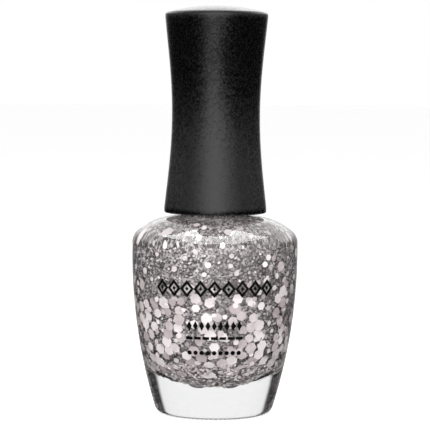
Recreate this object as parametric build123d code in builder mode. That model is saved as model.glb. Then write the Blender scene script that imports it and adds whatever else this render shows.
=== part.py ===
"""Nail polish bottle, 15 ml: glass bottle, liquid, mixing balls, and a screw cap that carries the brush.

Millimetres, +Z up. The origin is the middle of the ring that the bottle stands on. The print faces -Y.
"""

import os
from math import asin, cos, degrees, radians, sin, sqrt

from build123d import *

os.makedirs("parts", exist_ok=True)

# ---- Glass, outside ----
BODY_R = 16.5  # widest radius, just under the shoulder
BODY_Z = 32.0  # height where the side turns upright
SIDE_ARC_R = 104.0  # the side is one long arc in profile
SHOULDER_Z = 34.0
SHOULDER_ARC = (15.3, 36.4)  # end of the shoulder's tight arc
SHOULDER_MID = (12.8, 38.0)
NECK_ROOT = (6.7, 39.4)  # where the shoulder meets the fillet of the neck
HEEL_Z = 1.15  # top of the rounded heel
BEARING_OUT_R = 10.26  # the ring that touches the table
BEARING_IN_R = 9.3
PUSH_UP_R = 8.5
PUSH_UP_Z = 0.8  # depth of the recess under the base

# ---- Neck finish ----
NECK_R = 5.75  # outside of the neck between the threads
NECK_BORE_R = 3.6
NECK_START_Z = 40.3
LIP_Z = 50.8
LIP_ROUND = 0.5
THREAD_PITCH = 2.1
THREAD_TURNS = 1.5
THREAD_DEPTH = 0.7
THREAD_BASE = 1.1  # height of a ridge at its root
THREAD_TIP = 0.5
THREAD_SINK = 0.15  # how far a ridge reaches into the wall it stands on
NECK_THREAD_Z = 44.6

# ---- Glass, inside ----
WALL = 2.2
BOWL_Z = 6.2  # lowest point of the bowl-shaped floor
BOWL_ARC_R = 14.5
BOWL_R = 10.6  # the bowl's arc gives way to a tighter bend here
BEND_Z = 15.9  # top of that bend, where the even wall starts
INNER_SHOULDER_Z = 33.0
INNER_SHOULDER_ARC = (13.2, 35.2)
INNER_SHOULDER_MID = (8.6, 37.2)
BORE_START_Z = 41.0

# ---- Liquid ----
FILL_Z = 37.4
FILM = 0.05  # gap left between the liquid and the glass
WELL_R = 2.45  # room for the stem and the bristles
WELL_FLOOR_Z = 10.4

# ---- Mixing balls ----
BALL_R = 2.0
BALL_TRACK_R = 2.05  # half the distance between the balls, side by side at the bottom
BALL_LIFT = 0.02
BALL_ROOM = 0.4
BALL_SIDES = {"mixing_ball_a": 1, "mixing_ball_b": -1}  # which way along X
BALL_ROLL = 20.0  # degrees that each ball rolls up its side of the bowl
BOWL_CENTRE_Z = BOWL_Z + BOWL_ARC_R
BALL_PATH_R = BOWL_ARC_R - BALL_R - BALL_LIFT  # the path's radius about the bowl's centre
BALL_Z = BOWL_CENTRE_Z - sqrt(BALL_PATH_R**2 - BALL_TRACK_R**2)

# ---- Outer cap ----
CAP_BOTTOM_Z = 39.9
CAP_TOP_Z = 80.9
CAP_RIM_Z = 79.5
CAP_END_R = 10.18
CAP_SIDE = ((CAP_END_R, 40.9), (9.17, 50.3), (8.75, 58.8), (9.17, 68.6), (CAP_END_R, 78.6))
CAP_EDGE_ROUND = 0.35
CAP_RIM_ROUND = 0.45
SOCKET_R = 7.9  # grips the insert
SOCKET_TOP_Z = 54.4
SOCKET_LEAD_IN = 0.4
CORE_R = 7.0  # hollow above the insert, drafted towards the top
CORE_TOP_R = 6.5
CORE_TOP_Z = 78.0
CORE_ROUND = 1.5

# ---- Inner cap, the threaded insert ----
INSERT_R = 7.65
INSERT_BOTTOM_Z = 40.5
INSERT_BORE_R = 6.95
INSERT_THREAD_DEPTH = 0.4  # its crest stays 0.1 outside the neck's crest
INSERT_THREAD_Z = 43.2
INSERT_RECESS_R = 5.4
INSERT_RECESS_DEPTH = 1.2
RIB_COUNT = 24
RIB_R = 0.2
RIB_BOTTOM_Z = 41.6
RIB_TOP_Z = 53.6
SPIGOT_R = 1.0
SPIGOT_LENGTH = 5.0

# ---- Seal ----
LINER_THICKNESS = 1.0
LINER_R = 6.3
LINER_HOLE_R = 3.3
SEAL_SLIP = 0.02  # lets the insert turn on the seal
CEILING_Z = LIP_Z + LINER_THICKNESS + SEAL_SLIP

# ---- Brush ----
COLLAR_R = 3.2  # plug that fills the bottle's mouth
COLLAR_BOTTOM_Z = 48.2
COLLAR_CHAMFER = (0.5, 0.8)
STEM_TOP_R = 2.1
STEM_END_R = 1.85
STEM_END_Z = 24.6
STEM_END_CHAMFER = 0.3
TUFT_HOLE_R = 1.35
TUFT_HOLE_TOP_Z = 30.4
TUFT_R = 1.3
TUFT_TOP_Z = 28.6
TUFT_SPREAD_Z = 24.0  # the tuft is round above this height and fans out below it
# height and half sizes of the fanned tuft
TUFT_SECTIONS = ((18.0, 1.85, 1.05), (11.4, 1.95, 0.75))
TUFT_HALF_WIDTH = 2.0
TUFT_TIP_ROUND = 1.3
STAPLE_WIRE_R = 0.22
STAPLE_HALF_WIDTH = 1.05
STAPLE_LEG = 1.3
STAPLE_BEND_R = 0.45

# ---- Print and sticker ----
INK = 0.06
INK_GAP = 0.02
PRINT_BASE_R = 13.0  # the stencil starts inside the glass
PRINT_REACH = 5.0
STICKER_R = 8.3
STICKER_THICKNESS = 0.12


def side_radius(height):
    """Outer radius of the glass between the heel and the height where the side turns upright."""
    return BODY_R - SIDE_ARC_R + sqrt(SIDE_ARC_R**2 - (BODY_Z - height) ** 2)


def side_arc(low_z, offset):
    """The long arc of the glass side from low_z up, moved outwards by offset."""
    middle_z = (low_z + BODY_Z) / 2
    return ThreePointArc(
        (side_radius(low_z) + offset, low_z),
        (side_radius(middle_z) + offset, middle_z),
        (BODY_R + offset, BODY_Z),
    )


def cavity_outline(gap):
    """The inner face of the glass from the floor's middle to the neck's bore, moved inwards by gap."""
    bowl_edge = (BOWL_R, BOWL_CENTRE_Z - sqrt((BOWL_ARC_R - gap) ** 2 - BOWL_R**2))
    bowl = TangentArc((0, BOWL_Z + gap), bowl_edge, tangent=(1, 0))
    TangentArc(bowl_edge, (side_radius(BEND_Z) - WALL - gap, BEND_Z), tangent=bowl % 1)
    side_arc(BEND_Z, -WALL - gap)
    inner_r = BODY_R - WALL - gap
    arc_end = (INNER_SHOULDER_ARC[0] - gap, INNER_SHOULDER_ARC[1])
    Line((inner_r, BODY_Z), (inner_r, INNER_SHOULDER_Z))
    arc = TangentArc((inner_r, INNER_SHOULDER_Z), arc_end, tangent=(0, 1))
    Spline(
        arc_end,
        (INNER_SHOULDER_MID[0], INNER_SHOULDER_MID[1] - gap),
        (NECK_BORE_R - gap, BORE_START_Z),
        tangents=(arc % 1, (0, 1)),
    )


def thread_ridge(radius, start_z, turns, depth):
    """A ridge wound round a cylinder of the given radius. A negative depth points inwards."""
    sink = -THREAD_SINK if depth > 0 else THREAD_SINK
    with BuildPart() as ridge:
        with BuildLine() as path:
            Helix(pitch=THREAD_PITCH, height=THREAD_PITCH * turns, radius=radius, center=(0, 0, start_z))
        with BuildSketch(Plane(origin=path.line @ 0, x_dir=(1, 0, 0), z_dir=path.line % 0)):
            with BuildLine():
                Polyline(
                    (sink, -THREAD_BASE / 2),
                    (0, -THREAD_BASE / 2),
                    (depth, -THREAD_TIP / 2),
                    (depth, THREAD_TIP / 2),
                    (0, THREAD_BASE / 2),
                    (sink, THREAD_BASE / 2),
                    close=True,
                )
            make_face()
        sweep(path=path.line, is_frenet=True)
    return ridge.part


# ---- Glass bottle ----
neck_thread = thread_ridge(NECK_R, NECK_THREAD_Z, THREAD_TURNS, THREAD_DEPTH)

with BuildPart() as glass_bottle:
    with BuildSketch(Plane.XZ):
        with BuildLine():
            # under the base, up the outside and round the lip
            Line((0, BOWL_Z), (0, PUSH_UP_Z))
            Polyline((0, PUSH_UP_Z), (PUSH_UP_R, PUSH_UP_Z), (BEARING_IN_R, 0), (BEARING_OUT_R, 0))
            TangentArc((BEARING_OUT_R, 0), (side_radius(HEEL_Z), HEEL_Z), tangent=(1, 0))
            side_arc(HEEL_Z, 0)
            Line((BODY_R, BODY_Z), (BODY_R, SHOULDER_Z))
            shoulder = TangentArc((BODY_R, SHOULDER_Z), SHOULDER_ARC, tangent=(0, 1))
            slope = Spline(SHOULDER_ARC, SHOULDER_MID, NECK_ROOT, tangents=(shoulder % 1, (-1, 0.07)))
            TangentArc(NECK_ROOT, (NECK_R, NECK_START_Z), tangent=slope % 1)
            Line((NECK_R, NECK_START_Z), (NECK_R, LIP_Z - LIP_ROUND))
            TangentArc((NECK_R, LIP_Z - LIP_ROUND), (NECK_R - LIP_ROUND, LIP_Z), tangent=(0, 1))
            Line((NECK_R - LIP_ROUND, LIP_Z), (NECK_BORE_R + LIP_ROUND, LIP_Z))
            TangentArc((NECK_BORE_R + LIP_ROUND, LIP_Z), (NECK_BORE_R, LIP_Z - LIP_ROUND), tangent=(-1, 0))
            Line((NECK_BORE_R, LIP_Z - LIP_ROUND), (NECK_BORE_R, BORE_START_Z))
            cavity_outline(0)
        make_face()
    revolve(axis=Axis.Z)
    add(neck_thread)
glass_bottle.part.label = "glass_bottle"
export_step(glass_bottle.part, "parts/glass_bottle.step")

# ---- Liquid, with a well for the brush and a curved trough for the balls ----
path_end = asin(BALL_TRACK_R / BALL_PATH_R) + radians(BALL_ROLL)
trough_axis = Axis((0, 0, BOWL_CENTRE_Z), (0, 1, 0))
trough_end = (BALL_PATH_R * sin(path_end), 0, BOWL_CENTRE_Z - BALL_PATH_R * cos(path_end))
trough_start = Plane(origin=trough_end, x_dir=(0, 1, 0), z_dir=(cos(path_end), 0, sin(path_end)))

with BuildPart() as polish:
    with BuildSketch(Plane.XZ):
        with BuildLine():
            cavity_outline(FILM)
            Polyline((NECK_BORE_R - FILM, BORE_START_Z), (0, BORE_START_Z), (0, BOWL_Z + FILM))
        make_face()
        with Locations((0, BOWL_Z)):
            Rectangle(2 * BODY_R, FILL_Z - BOWL_Z, align=(Align.CENTER, Align.MIN), mode=Mode.INTERSECT)
    revolve(axis=Axis.Z)
    with BuildSketch(Plane.XY.offset(WELL_FLOOR_Z)):
        Circle(WELL_R)
    extrude(amount=FILL_Z - WELL_FLOOR_Z, mode=Mode.SUBTRACT)
    with BuildSketch(trough_start):
        Circle(BALL_R + BALL_ROOM)
    revolve(axis=trough_axis, revolution_arc=2 * degrees(path_end), mode=Mode.SUBTRACT)
    with Locations(trough_end, (-trough_end[0], 0, trough_end[2])):
        Sphere(BALL_R + BALL_ROOM, mode=Mode.SUBTRACT)
polish.part.label = "polish"
export_step(polish.part, "parts/polish.step")

# ---- Mixing balls, on the floor of the bottle ----
for ball_name, ball_side in BALL_SIDES.items():
    with BuildPart() as mixing_ball:
        with Locations((ball_side * BALL_TRACK_R, 0, BALL_Z)):
            Sphere(BALL_R)
    mixing_ball.part.label = ball_name
    export_step(mixing_ball.part, f"parts/{ball_name}.step")

# ---- Outer cap: waisted shell with a domed top ----
with BuildPart() as outer_cap:
    with BuildSketch(Plane.XZ):
        with BuildLine():
            Polyline((0, CAP_TOP_Z), (0, CAP_BOTTOM_Z), (CAP_END_R, CAP_BOTTOM_Z), CAP_SIDE[0])
            Spline(*CAP_SIDE)
            Line(CAP_SIDE[-1], (CAP_END_R, CAP_RIM_Z))
            TangentArc((0, CAP_TOP_Z), (CAP_END_R, CAP_RIM_Z), tangent=(1, 0))
        make_face()
    revolve(axis=Axis.Z)
    ends = outer_cap.edges().filter_by(GeomType.CIRCLE)
    fillet(ends.filter_by_position(Axis.Z, CAP_RIM_Z - 0.1, CAP_RIM_Z + 0.1), CAP_RIM_ROUND)
    fillet(outer_cap.edges().filter_by(GeomType.CIRCLE).sort_by(Axis.Z)[0], CAP_EDGE_ROUND)
    with BuildSketch(Plane.XZ):
        with BuildLine():
            Polyline(
                (0, CAP_BOTTOM_Z),
                (SOCKET_R + SOCKET_LEAD_IN, CAP_BOTTOM_Z),
                (SOCKET_R, CAP_BOTTOM_Z + SOCKET_LEAD_IN),
                (SOCKET_R, SOCKET_TOP_Z),
                (CORE_R, SOCKET_TOP_Z),
                (CORE_TOP_R, CORE_TOP_Z - CORE_ROUND),
            )
            TangentArc(
                (CORE_TOP_R, CORE_TOP_Z - CORE_ROUND),
                (CORE_TOP_R - CORE_ROUND, CORE_TOP_Z),
                tangent=(0, 1),
            )
            Polyline((CORE_TOP_R - CORE_ROUND, CORE_TOP_Z), (0, CORE_TOP_Z), (0, CAP_BOTTOM_Z))
        make_face()
    revolve(axis=Axis.Z, mode=Mode.SUBTRACT)
outer_cap.part.label = "outer_cap"
export_step(outer_cap.part, "parts/outer_cap.step")

# ---- Inner cap: ribbed insert with the thread and the post that holds the stem ----
insert_thread = thread_ridge(INSERT_BORE_R, INSERT_THREAD_Z, THREAD_TURNS, -INSERT_THREAD_DEPTH)

with BuildPart() as inner_cap:
    with BuildSketch(Plane.XY.offset(INSERT_BOTTOM_Z)):
        Circle(INSERT_R)
    extrude(amount=SOCKET_TOP_Z - INSERT_BOTTOM_Z)
    with BuildSketch(Plane.XY.offset(RIB_BOTTOM_Z)):
        with PolarLocations(INSERT_R, RIB_COUNT):
            Circle(RIB_R)
    extrude(amount=RIB_TOP_Z - RIB_BOTTOM_Z)
    with BuildSketch(Plane.XY.offset(INSERT_BOTTOM_Z)):
        Circle(INSERT_BORE_R)
    extrude(amount=CEILING_Z - INSERT_BOTTOM_Z, mode=Mode.SUBTRACT)
    with BuildSketch(Plane.XY.offset(SOCKET_TOP_Z)):
        Circle(INSERT_RECESS_R)
    extrude(amount=-INSERT_RECESS_DEPTH, mode=Mode.SUBTRACT)
    with BuildSketch(Plane.XY.offset(CEILING_Z)):
        Circle(SPIGOT_R)
    extrude(amount=-SPIGOT_LENGTH)
    add(insert_thread)
inner_cap.part.label = "inner_cap"
export_step(inner_cap.part, "parts/inner_cap.step")

# ---- Seal washer on the lip ----
with BuildPart() as cap_liner:
    with BuildSketch(Plane.XY.offset(LIP_Z)):
        Circle(LINER_R)
        Circle(LINER_HOLE_R, mode=Mode.SUBTRACT)
    extrude(amount=LINER_THICKNESS)
cap_liner.part.label = "cap_liner"
export_step(cap_liner.part, "parts/cap_liner.step")

# ---- Brush stem: mouth plug, tapered rod, post hole above and tuft hole below ----
with BuildPart() as brush_stem:
    with BuildSketch(Plane.XZ):
        with BuildLine():
            Polyline(
                (0, CEILING_Z),
                (COLLAR_R, CEILING_Z),
                (COLLAR_R, COLLAR_BOTTOM_Z + COLLAR_CHAMFER[1]),
                (COLLAR_R - COLLAR_CHAMFER[0], COLLAR_BOTTOM_Z),
                (STEM_TOP_R, COLLAR_BOTTOM_Z),
                (STEM_END_R, STEM_END_Z + STEM_END_CHAMFER),
                (STEM_END_R - STEM_END_CHAMFER, STEM_END_Z),
                (0, STEM_END_Z),
                close=True,
            )
        make_face()
    revolve(axis=Axis.Z)
    with BuildSketch(Plane.XY.offset(STEM_END_Z)):
        Circle(TUFT_HOLE_R)
    extrude(amount=TUFT_HOLE_TOP_Z - STEM_END_Z, mode=Mode.SUBTRACT)
    with BuildSketch(Plane.XY.offset(CEILING_Z)):
        Circle(SPIGOT_R + SEAL_SLIP)
    extrude(amount=-SPIGOT_LENGTH - SEAL_SLIP, mode=Mode.SUBTRACT)
brush_stem.part.label = "brush_stem"
export_step(brush_stem.part, "parts/brush_stem.step")

# ---- Staple that pins the folded bristles into the stem ----
with BuildPart() as bristle_staple:
    bar_z = TUFT_TOP_Z + STAPLE_WIRE_R
    with BuildLine() as staple_path:
        FilletPolyline(
            (-STAPLE_HALF_WIDTH, 0, bar_z + STAPLE_LEG),
            (-STAPLE_HALF_WIDTH, 0, bar_z),
            (STAPLE_HALF_WIDTH, 0, bar_z),
            (STAPLE_HALF_WIDTH, 0, bar_z + STAPLE_LEG),
            radius=STAPLE_BEND_R,
        )
    with BuildSketch(Plane(origin=staple_path.line @ 0, z_dir=staple_path.line % 0)):
        Circle(STAPLE_WIRE_R)
    sweep(path=staple_path.line)
bristle_staple.part.label = "bristle_staple"
export_step(bristle_staple.part, "parts/bristle_staple.step")

# ---- Bristles: round at the root, fanned flat towards a rounded tip ----
with BuildPart() as brush_bristles:
    with BuildSketch(Plane.XY.offset(TUFT_TOP_Z)):
        Circle(TUFT_R)
    extrude(amount=TUFT_SPREAD_Z - TUFT_TOP_Z)
    with BuildSketch(Plane.XY.offset(TUFT_SPREAD_Z)):
        Circle(TUFT_R)
    for section_z, half_x, half_y in TUFT_SECTIONS:
        with BuildSketch(Plane.XY.offset(section_z)):
            Ellipse(half_x, half_y)
    loft()
    tip_z = TUFT_SECTIONS[-1][0]
    with BuildSketch(Plane.XZ) as trimmed_tip:
        with Locations((0, tip_z)):
            Rectangle(2 * TUFT_HALF_WIDTH, TUFT_TOP_Z - tip_z, align=(Align.CENTER, Align.MIN))
        fillet(trimmed_tip.vertices().group_by(Axis.Z)[0], TUFT_TIP_ROUND)
    extrude(amount=TUFT_HALF_WIDTH, both=True, mode=Mode.INTERSECT)
brush_bristles.part.label = "brush_bristles"
export_step(brush_bristles.part, "parts/brush_bristles.step")


# ---- Ink ornament wrapped round the front of the glass ----
def diamond(half_width, half_height, mode=Mode.ADD):
    """A lozenge in the sketch that is open."""
    Polygon((half_width, 0), (0, half_height), (-half_width, 0), (0, -half_height), mode=mode)


def framed_diamond():
    diamond(1.4, 1.7)
    diamond(0.78, 0.95, mode=Mode.SUBTRACT)
    diamond(0.34, 0.42)


def small_diamond():
    diamond(0.5, 0.95)


def dash():
    Rectangle(1.3, 0.55)


def dot():
    Circle(0.43)


# row: height, spacing along the glass, how many, and the mark that repeats
PRINT_ROWS = (
    (26.3, 2.7, 9, framed_diamond),
    (19.1, 1.22, 9, small_diamond),
    (16.7, 1.62, 7, dash),
    (13.8, 1.2, 9, dot),
)

with BuildPart() as front_print:
    for row_z, pitch, count, mark in PRINT_ROWS:
        for index in range(count):
            turn = (index - (count - 1) / 2) * pitch / side_radius(row_z)
            outward = (sin(turn), -cos(turn), 0)
            start = (PRINT_BASE_R * outward[0], PRINT_BASE_R * outward[1], row_z)
            with BuildSketch(Plane(origin=start, x_dir=(cos(turn), sin(turn), 0), z_dir=outward)):
                mark()
            extrude(amount=PRINT_REACH)
    with BuildSketch(Plane.XZ):
        with BuildLine():
            inner = side_arc(HEEL_Z, INK_GAP)
            outer = side_arc(HEEL_Z, INK_GAP + INK)
            Line(inner @ 0, outer @ 0)
            Line(inner @ 1, outer @ 1)
        make_face()
    revolve(axis=Axis.Z, mode=Mode.INTERSECT)
front_print.part.label = "front_print"
export_step(front_print.part, "parts/front_print.step")

# ---- Blank paper sticker in the recess under the base ----
with BuildPart() as base_label:
    with BuildSketch(Plane.XY.offset(PUSH_UP_Z)):
        Circle(STICKER_R)
    extrude(amount=-STICKER_THICKNESS)
base_label.part.label = "base_label"
export_step(base_label.part, "parts/base_label.step")
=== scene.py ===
# %% [markdown]
# # A bottle of glitter nail polish
#
# This lesson dresses a small mechanical model: a 15 ml glass bottle, its glitter polish, and a tall
# black cap that carries the brush. The mechanical model arrives as a fixed frame. Everything made
# here is in metres and sits in that same frame, so a piece goes exactly where the frame says.
#
# We load the frame first and measure it.

# %% Load the frame
import math

import bmesh
import bpy
import numpy as np
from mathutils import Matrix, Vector


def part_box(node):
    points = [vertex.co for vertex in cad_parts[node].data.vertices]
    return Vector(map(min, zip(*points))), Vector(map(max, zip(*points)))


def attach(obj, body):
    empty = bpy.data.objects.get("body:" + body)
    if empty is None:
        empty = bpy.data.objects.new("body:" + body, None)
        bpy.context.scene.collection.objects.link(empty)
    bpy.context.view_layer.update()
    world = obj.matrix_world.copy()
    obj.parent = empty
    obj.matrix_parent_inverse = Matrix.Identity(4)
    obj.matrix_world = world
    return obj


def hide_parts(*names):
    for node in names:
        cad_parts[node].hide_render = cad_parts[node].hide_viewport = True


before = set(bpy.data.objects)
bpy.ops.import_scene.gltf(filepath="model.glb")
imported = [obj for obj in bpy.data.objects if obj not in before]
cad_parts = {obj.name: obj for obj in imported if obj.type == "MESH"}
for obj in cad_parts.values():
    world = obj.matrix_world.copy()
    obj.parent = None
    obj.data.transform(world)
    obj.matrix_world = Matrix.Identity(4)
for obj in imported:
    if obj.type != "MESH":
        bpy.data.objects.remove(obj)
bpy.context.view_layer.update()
MM = 0.001

# %% [markdown]
# ## The camera and the studio
#
# A bottle is a lens. What you see in its thick base is not the base but the room behind it, bent
# round by the glass. So the room comes before the object. We use a long lens from a little above,
# the way small cosmetics are usually shot, and tilt the camera by less than a degree because the
# bottle stands a hair off plumb in the picture.

# %% Camera
SENSOR = 36.0
LENS = 154.5
CAMERA_DISTANCE = 0.367
CAMERA_HEIGHT = 0.065
AIM_HEIGHT = 0.0394
ROLL = math.radians(0.45)
SIDE_STEP = -0.00004

camera_data = bpy.data.cameras.new("camera")
camera_data.sensor_width = SENSOR
camera_data.lens = LENS
camera_data.clip_start = 0.01
camera_data.clip_end = 20.0
camera = bpy.data.objects.new("camera", camera_data)
bpy.context.scene.collection.objects.link(camera)
camera.location = (SIDE_STEP, -CAMERA_DISTANCE, CAMERA_HEIGHT)
aim = Vector((SIDE_STEP, 0, AIM_HEIGHT)) - camera.location
camera.rotation_euler = aim.to_track_quat("-Z", "Y").to_euler()
camera.rotation_euler.rotate_axis("Z", ROLL)
bpy.context.scene.camera = camera
bpy.context.scene.view_settings.view_transform = "Standard"
looks_down = math.degrees(math.atan2(-aim.z, -camera.location.y))
print("camera looks down by", round(looks_down, 2), "degrees")

# %% [markdown]
# Shader maths is easier to read as arithmetic. `Wire` wraps one socket and turns `+`, `*` and so on
# into Math nodes. `Board` adds every other node: its settings go in first, then its values or links.
# The same two classes serve materials, the studio's surroundings and the geometry trees.


# %% Wires and boards
class Wire:
    """One output socket. Arithmetic on it adds Math nodes to the board it belongs to."""

    def __init__(self, board, socket):
        self.board = board
        self.socket = socket

    def __add__(self, other):
        return self.board.maths("ADD", self, other)

    def __radd__(self, other):
        return self.board.maths("ADD", other, self)

    def __sub__(self, other):
        return self.board.maths("SUBTRACT", self, other)

    def __rsub__(self, other):
        return self.board.maths("SUBTRACT", other, self)

    def __mul__(self, other):
        return self.board.maths("MULTIPLY", self, other)

    def __rmul__(self, other):
        return self.board.maths("MULTIPLY", other, self)

    def __truediv__(self, other):
        return self.board.maths("DIVIDE", self, other)

    def __rtruediv__(self, other):
        return self.board.maths("DIVIDE", other, self)

    def __neg__(self):
        return self.board.maths("MULTIPLY", self, -1.0)


class Board:
    """A node tree, with one method that adds any node to it."""

    def __init__(self, tree):
        self.tree = tree

    def node(self, kind, settings=None, feeds=None):
        node = self.tree.nodes.new(kind)
        for name, value in (settings or {}).items():
            if name == "stops":
                self.set_stops(node.color_ramp, value)
            else:
                setattr(node, name, value)
        for name, value in (feeds or {}).items():
            self.feed(node.inputs[name], value)
        return node

    def feed(self, socket, value):
        if isinstance(value, Wire):
            self.tree.links.new(value.socket, socket)
        else:
            socket.default_value = value

    def set_stops(self, ramp, stops):
        while len(ramp.elements) < len(stops):
            ramp.elements.new(0.5)
        for element, (position, colour) in zip(ramp.elements, stops):
            element.position = position
            element.color = colour

    def wire(self, kind, settings=None, feeds=None, out=0):
        return Wire(self, self.node(kind, settings, feeds).outputs[out])

    def maths(self, operation, *values):
        return self.wire("ShaderNodeMath", {"operation": operation}, dict(enumerate(values)))

    def vector(self, operation, *values):
        return self.wire("ShaderNodeVectorMath", {"operation": operation}, dict(enumerate(values)))

    def smooth(self, value, low, high):
        """0 below low, 1 above high, with a soft step between."""
        settings = {"interpolation_type": "SMOOTHSTEP"}
        feeds = {"Value": value, "From Min": low, "From Max": high}
        return self.wire("ShaderNodeMapRange", settings, feeds)

    def blend(self, factor, low, high):
        """A colour between low and high."""
        feeds = {0: factor, 6: low, 7: high}
        return self.wire("ShaderNodeMix", {"data_type": "RGBA"}, feeds, out=2)

    def split(self, vector):
        node = self.node("ShaderNodeSeparateXYZ", feeds={0: vector})
        return [Wire(self, output) for output in node.outputs]

    def noise(self, place, scale, detail):
        feeds = {"Vector": place, "Scale": scale, "Detail": detail}
        return self.wire("ShaderNodeTexNoise", feeds=feeds)

    def dented(self, height, strength, distance):
        """The surface's normal, dented by height."""
        feeds = {"Strength": strength, "Distance": distance, "Height": height}
        return self.wire("ShaderNodeBump", feeds=feeds)

    def tilted(self, cells, amount):
        """The surface's normal, tilted by each cell's own colour."""
        lean = self.vector("SUBTRACT", cells, (0.5, 0.5, 0.5))
        lean = self.vector("MULTIPLY", lean, (amount, amount, amount))
        normal = self.wire("ShaderNodeNewGeometry", out="Normal")
        return self.vector("NORMALIZE", self.vector("ADD", normal, lean))


print("node helpers ready")

# %% [markdown]
# The surroundings are a soft white tent with four narrow dark flags, one towards each corner. Light
# that has passed through the clear base is bent far round, and at its edges it comes from a flag.
# That is the photographer's way to draw a dark line down each side of clear glass.
#
# What mirrors off the outside is a different matter. There the tent has a bright panel in front, dim
# sides, and behind it a bright upper half over a narrow lower panel. All of them fade out below the
# horizon, so a surface that leans down goes dark and one that leans up goes light.
#
# The light path node tells the two kinds of ray apart, with one trap: a ray bent through glass
# counts as glossy as well as transmitted. So a mirror ray is one that is glossy and not transmitted.
# Matt surfaces gather an even, dimmer light, and the camera always sees plain white.

# %% Surroundings
MATT_LIGHT, THROUGH_LIGHT, FLAG_DARK = 0.46, 0.96, 0.92
SIDE_LIGHT, SIDE_LOSS_BEHIND = 0.44, 0.45
FRONT_LIGHT, FRONT_LOSS_HIGH = 1.35, 0.8
BACK_LIGHT, LOW_BACK_LIGHT = 1.15, 0.7

world = bpy.data.worlds.new("white_tent")
bpy.context.scene.world = world
world.use_nodes = True
world.node_tree.nodes.clear()
tent = Board(world.node_tree)
direction = tent.wire("ShaderNodeTexCoord", out="Generated")
east, north, up = tent.split(direction)
flat_length = tent.maths("SQRT", east * east + north * north + 1e-6)
sideways = tent.maths("ABSOLUTE", east) / flat_length
flags = tent.smooth(sideways, 0.66, 0.76) * (1.0 - tent.smooth(sideways, 0.95, 0.99))
through = THROUGH_LIGHT - flags * FLAG_DARK
behind = tent.smooth(north, -0.2, 0.3)
rising = tent.smooth(up, -0.12, 0.06)
off_centre = tent.maths("ABSOLUTE", east / flat_length + (1.0 - rising) * 0.12)
narrow_front = 1.0 - tent.smooth(off_centre / (0.58 + rising * 0.5), 0.05, 1.0)
sides = tent.smooth(up, -0.07, 0.10) * SIDE_LIGHT * (1.0 - behind * SIDE_LOSS_BEHIND)
high = tent.smooth(up, 0.22, 0.5)
front = (1.0 - behind) * narrow_front * tent.smooth(up, -0.33, -0.08)
front = front * (FRONT_LIGHT - high * FRONT_LOSS_HIGH)
narrow_back = (1.0 - tent.smooth(sideways, 0.1, 0.55)) * tent.smooth(up, -0.36, -0.1)
low_back = narrow_back * (1.0 - high) * LOW_BACK_LIGHT
back = behind * (tent.smooth(up, 0.08, 0.3) * BACK_LIGHT + low_back)
mirrored = sides + front + back
paths = tent.node("ShaderNodeLightPath")
seen = Wire(tent, paths.outputs["Is Camera Ray"])
bent = Wire(tent, paths.outputs["Is Transmission Ray"])
mirror = Wire(tent, paths.outputs["Is Glossy Ray"]) * (1.0 - bent)
matt = (1.0 - bent) * (1.0 - mirror)
strength = (through * bent + mirrored * mirror + MATT_LIGHT * matt) * (1.0 - seen) + seen
backdrop = tent.wire("ShaderNodeBackground", feeds={"Color": (1, 1, 1, 1), "Strength": strength})
tent.node("ShaderNodeOutputWorld", feeds={"Surface": backdrop})
print("the tent has", len(world.node_tree.nodes), "nodes")

# %% [markdown]
# Three lamps finish the studio. A wide panel overhead and a fill at the front light the flakes. Both
# are hidden from mirror rays, so they draw no shapes on the black cap. The third is a broad panel
# that only mirror rays can see. It draws the soft bright strip across the shoulder. Light linking
# keeps it on the glass, once that is made: it would turn the underside of the cap silver.


# %% Lamps
def softbox(name, size, place, target, watts):
    """A rectangular lamp of the given width and depth that faces target."""
    data = bpy.data.lights.new(name, "AREA")
    data.shape = "RECTANGLE"
    data.size, data.size_y = size
    data.energy = watts
    lamp = bpy.data.objects.new(name, data)
    bpy.context.scene.collection.objects.link(lamp)
    lamp.location = place
    facing = Vector(target) - Vector(place)
    lamp.rotation_euler = facing.to_track_quat("-Z", "Y").to_euler()
    return lamp


overhead = softbox("overhead_panel", (0.80, 0.86), (0, -0.31, 0.60), (0, -0.31, 0), 3.4)
overhead.visible_glossy = False
fill = softbox("front_fill", (0.70, 0.50), (-0.10, -0.95, 0.32), (0, 0, 0.02), 6.0)
fill.visible_glossy = False
strip = softbox("shoulder_strip", (1.00, 1.20), (0.02, -0.34, 0.62), (0.02, -0.34, 0), 27.0)
strip.visible_diffuse = False
strip.visible_transmission = False

# %% [markdown]
# The floor is a broad pale disc. It gives a little light of its own so that it stays as white as
# the tent. Mirror rays and rays that have passed through glass don't see it, but the tent instead:
# otherwise the white table beside the bottle would wash out the dark outline of the base. From below
# it is see-through, so that the underside of the bottle can be looked at.
#
# Two helpers come first. `placed` puts a mesh in the scene as an object, and `built` does the same
# for a mesh that is still being built. Each finish is one Principled shader, so `Finish` makes the
# material and keeps its shader at hand.

# %% Floor
FLOOR_RADIUS = 6.0


def placed(name, mesh):
    piece = bpy.data.objects.new(name, mesh)
    bpy.context.scene.collection.objects.link(piece)
    return piece


def built(name, bm):
    mesh = bpy.data.meshes.new(name)
    bm.to_mesh(mesh)
    bm.free()
    return placed(name, mesh)


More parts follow.
